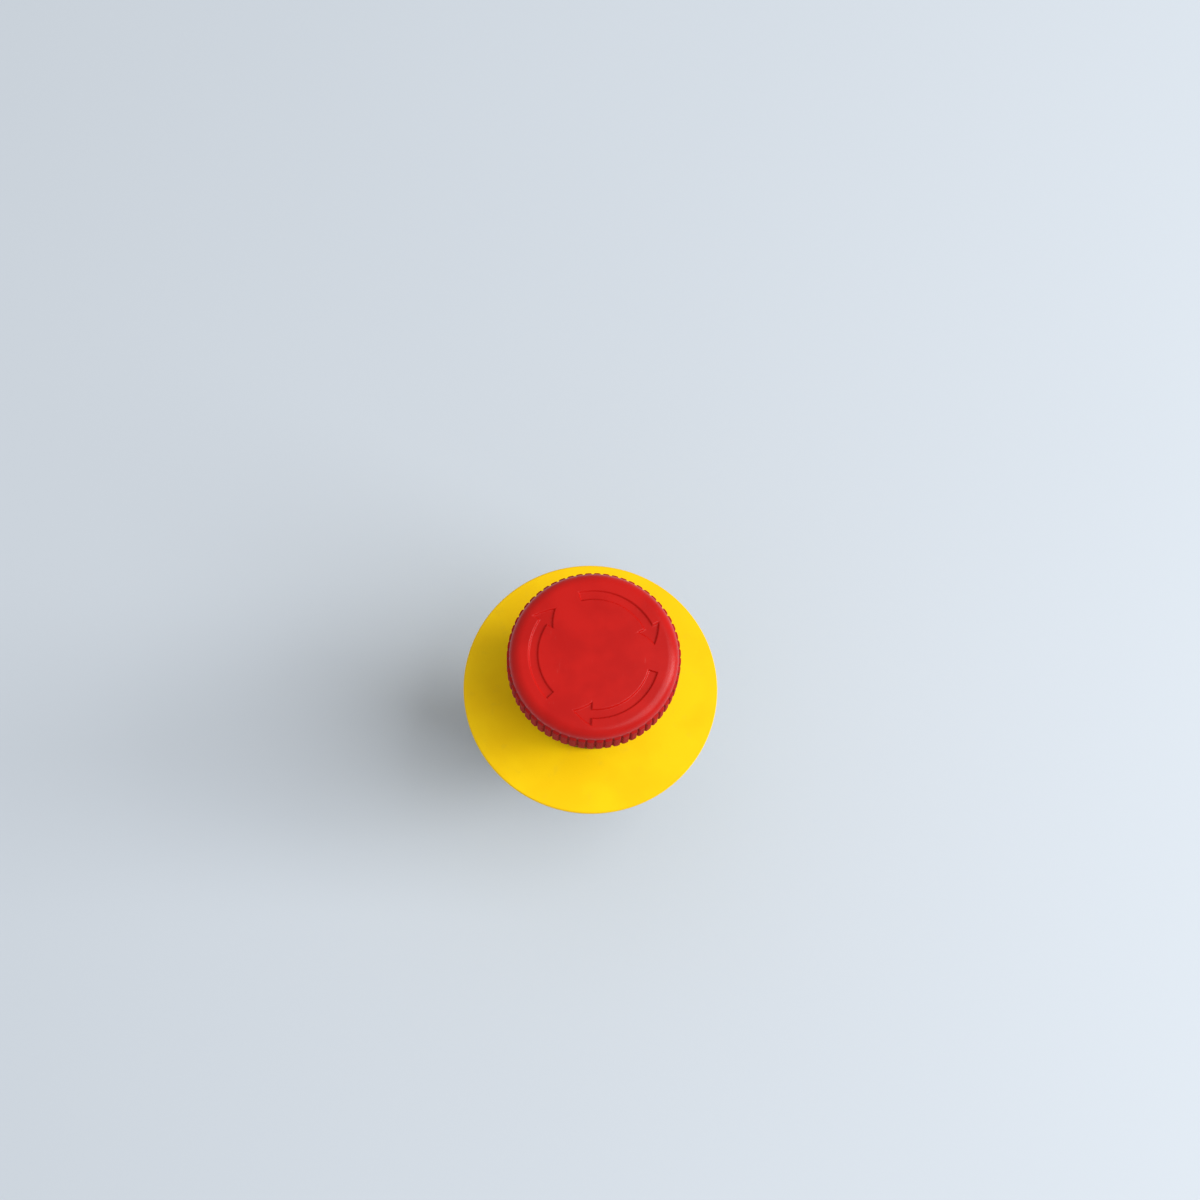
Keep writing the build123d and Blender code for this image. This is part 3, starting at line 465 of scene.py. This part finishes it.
# node materials
class Field:
    # wraps a node's output, so that arithmetic on it adds Math nodes
    def __init__(self, finish, socket):
        self.finish = finish
        self.socket = socket

    def calc(self, operation, *others):
        settings = {"operation": operation}
        inputs = dict(enumerate((self,) + others))
        return self.finish.add("Math", settings, inputs)

    def __add__(self, other):
        return self.calc("ADD", other)

    def __sub__(self, other):
        return self.calc("SUBTRACT", other)

    def __mul__(self, other):
        return self.calc("MULTIPLY", other)

    def __pow__(self, other):
        return self.calc("POWER", other)

    def __rsub__(self, other):
        return self.calc("MULTIPLY", -1.0).calc("ADD", other)

    def size(self):
        return self.calc("ABSOLUTE")

    __radd__ = __add__
    __rmul__ = __mul__

    def step(self, low, high):
        # 0 below low, 1 above high, smooth between
        settings = {"interpolation_type": "SMOOTHSTEP"}
        inputs = {"Value": self, "From Min": low, "From Max": high}
        return self.finish.add("MapRange", settings, inputs)


class Finish:
    # one material: every node is made by add, and shade sets the surface
    def __init__(self, name):
        self.material = bpy.data.materials.new(name)
        self.material.use_nodes = True
        self.tree = self.material.node_tree
        self.shader = self.tree.nodes["Principled BSDF"]

    def put(self, socket, value):
        if isinstance(value, Field):
            self.tree.links.new(value.socket, socket)
        elif isinstance(value, (tuple, list)) and len(value) == 3 and len(socket.default_value) == 4:
            socket.default_value = (*value, 1.0)
        else:
            socket.default_value = value

    def add(self, kind, settings=None, inputs=None, output=0):
        node = self.tree.nodes.new("ShaderNode" + kind)
        for key, value in (settings or {}).items():
            setattr(node, key, value)
        for key, value in (inputs or {}).items():
            self.put(node.inputs[key], value)
        return Field(self, node.outputs[output])

    def place(self):
        return self.add("TexCoord", output=3)

    def axes(self):
        node = self.add("SeparateXYZ", None, {0: self.place()}).socket.node
        return [Field(self, socket) for socket in node.outputs]

    def stretched(self, scale):
        return self.add("VectorMath", {"operation": "MULTIPLY"}, {0: self.place(), 1: scale})

    def noise(self, size, detail=2.0, roughness=0.5, where=None):
        # size is the real size of one blob, in mm
        inputs = {"Vector": where or self.place(), "Scale": 1 / (size * mm), "Detail": detail,
                  "Roughness": roughness}
        return self.add("TexNoise", None, inputs)

    def cells(self, size):
        return self.add("TexVoronoi", None, {"Vector": self.place(), "Scale": 1 / (size * mm)})

    def specks(self, size, low, high):
        # scattered patches: rough noise cut off between low and high
        return self.noise(size, 3, 0.6).step(low, high)

    def blend(self, share, first, second):
        # first where share is 0, second where it is 1
        return self.add("Mix", {"data_type": "RGBA"}, {0: share, 6: first, 7: second}, output=2)

    def bump(self, height, depth, strength=1.0, under=None):
        # depth in mm
        inputs = {"Height": height, "Distance": depth * mm, "Strength": strength}
        if under:
            inputs["Normal"] = under
        return self.add("Bump", None, inputs)

    def shade(self, **values):
        for name, value in values.items():
            self.put(self.shader.inputs[name.replace("_", " ")], value)
        return self.material


redHeadLook = {
    "dark": (0.455, 0.0055, 0.0035),
    "light": (0.52, 0.0075, 0.0045),
    # side: painted shade, a darker red for the head's side below its top
    "side": (0.37, 0.003, 0.001),
    "worn": (0.85, 0.10, 0.07),
    # dust: painted shade, a darker red laid into the groove roots between the ribs
    "dust": (0.32, 0.006, 0.004),
    "scuff": (0.9, 0.35, 0.3),
    "roughness": 0.27,
    "cloudSize": 9,
    "wornSize": 1.6,
    "scuffSize": 0.35,
    "scuffPatch": 6,
    "grainSize": 0.14,
    "flowSize": 3.2,
    "ribsEnd": 11.5,
    "ribsStart": 3,
    "shadedSideEnd": 3.6,
    "shadedSideStart": 2.4,
    "grooveShadeBand": (0.62, 0.52, 0.5, 0.25),
}


def redHead():
    # the radii of its masks are measured inwards from the ribs' crests, its heights down from the top
    # glossy moulded plastic: faint flow marks, fine satin grain, pale rubbed crests, painted shade in the
    # grooves, and painted shade darkening the side below the top, which is also rougher
    look = redHeadLook
    f = Finish("redHead")
    x, y, z = f.axes()
    top = headSizes["top"]
    rim = headSizes["crestRadius"]
    radius = (x * x + y * y) ** 0.5
    cloud = f.noise(look["cloudSize"], 3)
    base = f.blend(cloud.step(0.35, 0.65), look["dark"], look["light"])
    onRim = z.step((top - look["ribsEnd"]) * mm, (top - look["ribsStart"]) * mm)
    worn = radius.step((rim - 0.12) * mm, rim * mm) * f.specks(look["wornSize"], 0.45, 0.7) * onRim
    # painted shade: below the top the side takes the darker side colour; the same mask also makes the side
    # rougher
    side = 1 - z.step((top - look["shadedSideEnd"]) * mm, (top - look["shadedSideStart"]) * mm)
    base = f.blend(side, base, look["side"])
    base = f.blend(worn * 0.12, base, look["worn"])
    # painted shade: the groove roots between the ribs are darkened with the dust colour
    start, rise, fall, end = [(rim - depth) * mm for depth in look["grooveShadeBand"]]
    groove = (1 - radius.step(fall, end)) * radius.step(start, rise)
    base = f.blend(groove * 0.35, base, look["dust"])
    hairs = f.noise(look["scuffSize"], 4, 0.62, f.stretched((1, 0.12, 1))).step(0.62, 0.72)
    scuffs = hairs * f.specks(look["scuffPatch"], 0.5, 0.7)
    base = f.blend(scuffs * 0.10, base, look["scuff"])
    rough = look["roughness"] + cloud * 0.05 + scuffs * 0.14 + worn * 0.1 + side * 0.5
    grain = f.noise(look["grainSize"], 2)
    flow = f.noise(look["flowSize"], 1)
    normal = f.bump(flow, 0.02, 0.5, f.bump(grain, 0.006, 0.6))
    return f.shade(Base_Color=base, Roughness=rough, Normal=normal, IOR=1.38, Specular_IOR_Level=0.3)


yellowDiscLook = {
    "dark": (0.96, 0.60, 0.0),
    "light": (1.0, 0.66, 0.001),
    # edge: painted shadow, the darker colour of the band round the rim
    "edge": (0.72, 0.40, 0.0),
    "dirt": (0.50, 0.34, 0.05),
    "roughness": 0.46,
    "cloudSize": 14,
    "dirtSize": 2.4,
    "grainSize": 0.42,
    "fineSize": 0.12,
    "edgeShadowBand": (0.5, 0.05),
}


def yellowDisc():
    # satin sheet plastic with a fine leather grain, a painted edge shadow as a darker band round the rim, and
    # light dust
    look = yellowDiscLook
    f = Finish("yellowDisc")
    x, y = f.axes()[:2]
    radius = (x * x + y * y) ** 0.5
    rim = discHigh[0] / mm
    start, end = [(rim - depth) * mm for depth in look["edgeShadowBand"]]
    base = f.blend(f.noise(look["cloudSize"], 3).step(0.35, 0.65), look["dark"], look["light"])
    # painted shadow: a darker band round the rim stands for the shadow line at the disc's edge
    base = f.blend(radius.step(start, end) * 0.35, base, look["edge"])
    dirt = f.specks(look["dirtSize"], 0.58, 0.75)
    base = f.blend(dirt * 0.08, base, look["dirt"])
    grain = f.cells(look["grainSize"])
    rough = look["roughness"] + grain * 0.08 + dirt * 0.08
    normal = f.bump(grain, 0.012, 0.55, f.bump(f.noise(look["fineSize"]), 0.004, 0.5))
    return f.shade(Base_Color=base, Roughness=rough, Specular_IOR_Level=0.12, Normal=normal)


plasticLook = {
    "dust": (0.45, 0.44, 0.42),
    "dustShare": 0.045,
    "dustSize": 1.4,
    "cloudSize": 7,
    "streakSize": 0.5,
    "fineSize": 0.1,
}


def mouldedPlastic(name, dark, light, rough, grainSize, fibre):
    # spark-eroded grain, streaks of glass fibre along the flow, and pale dust
    look = plasticLook
    f = Finish(name)
    base = f.blend(f.noise(look["cloudSize"], 3).step(0.3, 0.7), dark, light)
    streak = f.noise(look["streakSize"], 3, 0.6, f.stretched((1, 1, 0.16))).step(0.52, 0.75)
    brighter = tuple(min(1.0, shade * 1.8 + 0.015) for shade in light)
    base = f.blend(streak * fibre, base, brighter)
    dust = f.specks(look["dustSize"], 0.6, 0.8)
    base = f.blend(dust * look["dustShare"], base, look["dust"])
    grain = f.cells(grainSize)
    normal = f.bump(grain, 0.014, 0.5, f.bump(f.noise(look["fineSize"], 2), 0.004, 0.5))
    return f.shade(Base_Color=base, Roughness=rough + grain * 0.12 + dust * 0.08 - streak * 0.06,
                   Normal=normal)


rubberLook = {
    "dark": (0.012, 0.012, 0.013),
    "light": (0.03, 0.03, 0.03),
    "bloom": (0.16, 0.16, 0.155),
    "roughness": 0.72,
    "cloudSize": 4,
    "bloomSize": 1.5,
    "grainSize": 0.2,
}


def rubber(name):
    # matt black rubber with a grey bloom
    look = rubberLook
    f = Finish(name)
    base = f.blend(f.noise(look["cloudSize"], 3), look["dark"], look["light"])
    bloom = f.specks(look["bloomSize"], 0.55, 0.8)
    base = f.blend(bloom * 0.25, base, look["bloom"])
    normal = f.bump(f.noise(look["grainSize"], 3), 0.02, 0.5)
    return f.shade(Base_Color=base, Roughness=look["roughness"] + bloom * 0.15, Normal=normal)


steelLook = {
    "tarnish": (0.2, 0.17, 0.12),
    "tarnishShare": 0.15,
    "tarnishSize": 1.3,
    "cloudSize": 2.5,
    "scratchSize": 0.3,
}


def steel(name, dark, light, rough, lines, lineSize):
    # bright metal with drawing or turning lines, fine scratches and a little tarnish
    look = steelLook
    f = Finish(name)
    base = f.blend(f.noise(look["cloudSize"], 4).step(0.3, 0.7), dark, light)
    dull = f.specks(look["tarnishSize"], 0.52, 0.8)
    base = f.blend(dull * look["tarnishShare"], base, look["tarnish"])
    line = f.noise(lineSize, 3, 0.6, f.stretched(lines))
    scratch = f.noise(look["scratchSize"], 4, 0.65, f.stretched((1, 0.07, 0.4))).step(0.62, 0.7)
    normal = f.bump(line, 0.008, 0.5, f.bump(scratch, 0.004, 0.4))
    return f.shade(Base_Color=base, Metallic=1.0, Normal=normal,
                   Roughness=rough + line * 0.12 + dull * 0.16 + scratch * 0.1)


platingLook = {
    "cool": (0.50, 0.52, 0.56),
    "warm": (0.62, 0.60, 0.54),
    "spangle": (0.72, 0.74, 0.76),
    "pit": (0.24, 0.23, 0.21),
    "roughness": 0.30,
    "bloomSize": 3.2,
    "spangleSize": 0.7,
    "pitSize": 0.5,
    "fineSize": 0.15,
}


def plating(name):
    # clear-passivated zinc: cool silver with weak blue and yellow bloom
    look = platingLook
    f = Finish(name)
    base = f.blend(f.noise(look["bloomSize"], 2).step(0.35, 0.65), look["cool"], look["warm"])
    spangle = f.cells(look["spangleSize"])
    base = f.blend(spangle * 0.2, base, look["spangle"])
    pits = f.specks(look["pitSize"], 0.6, 0.75)
    base = f.blend(pits * 0.3, base, look["pit"])
    normal = f.bump(pits, 0.012, 0.4, f.bump(f.noise(look["fineSize"]), 0.004, 0.4))
    return f.shade(Base_Color=base, Metallic=1.0, Normal=normal,
                   Roughness=look["roughness"] + spangle * 0.12 + pits * 0.2)


brassLook = {
    "dark": (0.66, 0.46, 0.17),
    "light": (0.80, 0.60, 0.28),
    "stain": (0.36, 0.20, 0.07),
    "silver": (0.80, 0.79, 0.76),
    "roughness": 0.24,
    "cloudSize": 3,
    "stainSize": 1.1,
    "lineSize": 0.12,
    "tipOffset": (6.6, 5.1),
    "tipRadius": 1.36,
    "tipEdge": 0.03,
    # heights of the closed block's tips and the open block's fixed and moving ones, above the block
    "tipLevels": ((17.38, 18.02), (19.18, 20.42), (21.58, 22.22)),
    "levelEdge": 0.02,
}


def contactBrass(name):
    # brass strip, silver inside a circle of tipRadius round each contact and between its two levels
    look = brassLook
    f = Finish(name)
    x, y, z = f.axes()
    base = f.blend(f.noise(look["cloudSize"], 3).step(0.3, 0.7), look["dark"], look["light"])
    stain = f.specks(look["stainSize"], 0.55, 0.75)
    base = f.blend(stain * 0.3, base, look["stain"])
    across = x.size() - look["tipOffset"][0] * mm
    along = y.size() - look["tipOffset"][1] * mm
    edge = look["levelEdge"] * mm
    bounds = [(blockLow[2] + low * mm, blockLow[2] + high * mm) for low, high in look["tipLevels"]]
    levels = [z.step(low, low + edge) * (1 - z.step(high - edge, high)) for low, high in bounds]
    reach = look["tipRadius"]
    off = (across * across + along * along) ** 0.5
    tips = sum(levels) * (1 - off.step((reach - look["tipEdge"]) * mm, reach * mm))
    base = f.blend(tips, base, look["silver"])
    drawn = f.noise(look["lineSize"], 2, 0.6, f.stretched((0.08, 1, 1)))
    return f.shade(Base_Color=base, Metallic=1.0, Normal=f.bump(drawn, 0.005, 0.5),
                   Roughness=look["roughness"] + drawn * 0.14 + stain * 0.2)


coverLook = {
    "clear": (0.62, 0.66, 0.69),
    "hazy": (0.74, 0.76, 0.76),
    "alpha": 0.12,
    "roughness": 0.06,
    "hazeSize": 5,
    "scratchSize": 0.35,
}


def clearCover(name):
    # clear polycarbonate with hairline scratches and a trace of haze
    look = coverLook
    f = Finish(name)
    scratch = f.noise(look["scratchSize"], 4, 0.65, f.stretched((0.06, 1, 1))).step(0.6, 0.68)
    haze = f.specks(look["hazeSize"], 0.4, 0.75)
    return f.shade(Base_Color=f.blend(haze, look["clear"], look["hazy"]),
                   Alpha=look["alpha"] + haze * 0.04 + scratch * 0.07,
                   Roughness=look["roughness"] + scratch * 0.2 + haze * 0.05,
                   Normal=f.bump(scratch, 0.003, 0.3))


# slot: material, dark and light colour, roughness, size of the grain in mm, share of fibre streaks
plastics = {
    "black_nylon": ("blackNylon", (0.010, 0.010, 0.011), (0.020, 0.020, 0.022), 0.42, 0.3, 0.22),
    "black_cap": ("blackCap", (0.008, 0.008, 0.009), (0.014, 0.014, 0.016), 0.3, 0.2, 0.15),
    "white_slider": ("naturalAcetal", (0.66, 0.64, 0.58), (0.76, 0.74, 0.69), 0.38, 0.25, 0.1),
    "grey_spindle": ("greySpindle", (0.10, 0.105, 0.11), (0.15, 0.155, 0.16), 0.45, 0.3, 0.22),
    "holder_nylon": ("holderNylon", (0.012, 0.012, 0.014), (0.024, 0.024, 0.027), 0.46, 0.36, 0.4),
    "lever_yellow": ("leverAmber", (0.78, 0.36, 0.012), (0.86, 0.44, 0.02), 0.4, 0.3, 0.15),
    "block_nylon": ("blockNylon", (0.075, 0.08, 0.085), (0.11, 0.115, 0.12), 0.5, 0.34, 0.35),
    "red_slider": ("redSlider", (0.50, 0.015, 0.012), (0.60, 0.025, 0.018), 0.36, 0.25, 0.12),
    "green_slider": ("greenSlider", (0.012, 0.26, 0.05), (0.02, 0.34, 0.08), 0.36, 0.25, 0.12),
}
# slot: material, dark and light colour, roughness, stretch of its lines, size of its lines in mm
steels = {
    "spring_steel": ("springSteel", (0.42, 0.42, 0.43), (0.58, 0.57, 0.56), 0.22, (1, 1, 0.1), 0.2),
    "pin_steel": ("pinSteel", (0.55, 0.55, 0.56), (0.66, 0.66, 0.67), 0.12, (0.1, 1, 1), 0.15),
}
materials = {
    "red_head": redHead(),
    "yellow_disc": yellowDisc(),
    "seal_rubber": rubber("sealRubber"),
    "zinc_steel": plating("zincSteel"),
    "nut_zinc": plating("nutZinc"),
    "clear_cover": clearCover("clearCover"),
    "contact_brass": contactBrass("contactBrass"),
}
materials.update({slot: mouldedPlastic(*values) for slot, values in plastics.items()})
materials.update({slot: steel(*values) for slot, values in steels.items()})
slotOf = {part["node"]: part["material_slot"] for part in frame["record"]["subparts"]}
for nodeName, node in frame["nodes"].items():
    node.data.materials.clear()
    node.data.materials.append(materials[slotOf[nodeName]])
print("materials on", len(frame["nodes"]), "nodes")


def finishPiece(piece, body, slotName, *replaced):
    # gives a new piece its material and body, and the CAD nodes whose place it takes
    piece.data.materials.append(materials[slotName])
    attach(piece, body)
    if replaced:
        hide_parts(*replaced)


finishPiece(headPiece(), "head", "red_head", "mushroom_head")
for web in webPieces():
    finishPiece(web, "head", "red_head")
print("head made")
finishPiece(barrelPiece(), "operator", "black_nylon", "operator_barrel")
for lug in lugPieces():
    finishPiece(lug, "operator", "black_nylon")
print("barrel made")

# each spring's wire, and how the press shortens it
springs = {
    # node: (radius, wire, turns, body, joint, shut length over open length, fixed at the top)
    "trip_spring": (9.3, 0.8, 4.2, "operator", "head_press", 0.5, False),
    "closed_contact_return_spring": (2.0, 0.5, 5.5, "operator", "closed_press", 0.475, False),
    "open_contact_return_spring": (2.0, 0.5, 5.5, "operator", "open_press", 0.475, False),
    "closed_contact_contact_spring": (1.4, 0.4, 4.5, "closed_slider", None, 1, False),
    "open_contact_contact_spring": (1.4, 0.4, 3.6, "open_slider", "open_bridge_rise", 0.73, True),
    "torsion_spring": (5.45, 0.8, 4.0, "plunger", None, 1, False),
}
for nodeName, (radius, wire, turns, body, joint, keep, fixedTop) in springs.items():
    low, high = boxOf(nodeName)
    middle = ((low + high) / 2 / mm) * np.array([1, 1, 0])
    spring = springPiece(nodeName + "_wire", middle, radius, wire, low[2] / mm, high[2] / mm, turns)
    finishPiece(spring, body, "spring_steel", nodeName)
    if joint:
        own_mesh(spring)
print("springs made")


# floor, light and camera
floorSizes = {
    "half": 6,
    "drop": 0.0002,
    "dark": (0.545, 0.60, 0.65),
    "light": (0.565, 0.62, 0.67),
    "cloudSize": 200,
    "roughness": 0.6,
}


def floorPiece():
    # one flat square just under the lowest point
    s = floorSizes
    half = s["half"]
    z = cadBox[0][2] - s["drop"]
    points = np.array([[-half, -half, z], [half, -half, z], [half, half, z], [-half, half, z]])
    floor = makePiece("floor", points, np.array([[0, 1, 2, 3]]))
    f = Finish("paleFloor")
    base = f.blend(f.noise(s["cloudSize"], 2), s["dark"], s["light"])
    floor.data.materials.append(f.shade(Base_Color=base, Roughness=s["roughness"]))


lightSizes = {
    "target": (0, 0, 0.02),
    # name: (place, width and height, watts, colour)
    "lamps": {
        "keyLight": ((0.95, 0.02, 0.50), (0.3, 0.7), 4.6, (1, 0.98, 0.97)),
        "topLight": ((0.80, -0.20, 1.10), (1.1, 1.3), 14.5, (0.97, 0.98, 1)),
    },
    "worldColour": (0.92, 0.91, 0.92, 1),
    "worldStrength": 0.60,
}


def softLight(name, place, size, energy, colour):
    # a large rectangular lamp that faces the target
    lamp = bpy.data.lights.new(name, "AREA")
    lamp.shape = "RECTANGLE"
    lamp.size = size[0]
    lamp.size_y = size[1]
    lamp.energy = energy
    lamp.color = colour
    holder = bpy.data.objects.new(name, lamp)
    bpy.context.scene.collection.objects.link(holder)
    holder.location = place
    aim = Vector(lightSizes["target"]) - Vector(place)
    holder.rotation_euler = aim.to_track_quat("-Z", "Y").to_euler()


floorPiece()
for lampName, values in lightSizes["lamps"].items():
    softLight(lampName, *values)
world = bpy.data.worlds.new("paleRoom")
world.use_nodes = True
background = world.node_tree.nodes["Background"]
background.inputs["Color"].default_value = lightSizes["worldColour"]
background.inputs["Strength"].default_value = lightSizes["worldStrength"]
bpy.context.scene.world = world
bpy.context.scene.view_settings.view_transform = "Standard"

# the camera looks almost straight down: right and up are its axes, back points away from the view
cameraSizes = {
    "place": (-0.0210, -0.1691, 0.7498),
    "right": (0.9997, -0.0147, 0.0277),
    "up": (0.0074, 0.969, 0.2468),
    "lens": 97.5,
    "sensor": 36,
}
right = Vector(cameraSizes["right"]).normalized()
back = right.cross(Vector(cameraSizes["up"])).normalized()
up = back.cross(right)
lens = bpy.data.cameras.new("camera")
lens.lens = cameraSizes["lens"]
lens.sensor_width = cameraSizes["sensor"]
lens.clip_start = 0.01
camera = bpy.data.objects.new("camera", lens)
bpy.context.scene.collection.objects.link(camera)
turn = Matrix((right, up, back)).transposed().to_4x4()
camera.matrix_world = Matrix.Translation(cameraSizes["place"]) @ turn
bpy.context.scene.camera = camera
print("camera and light set")
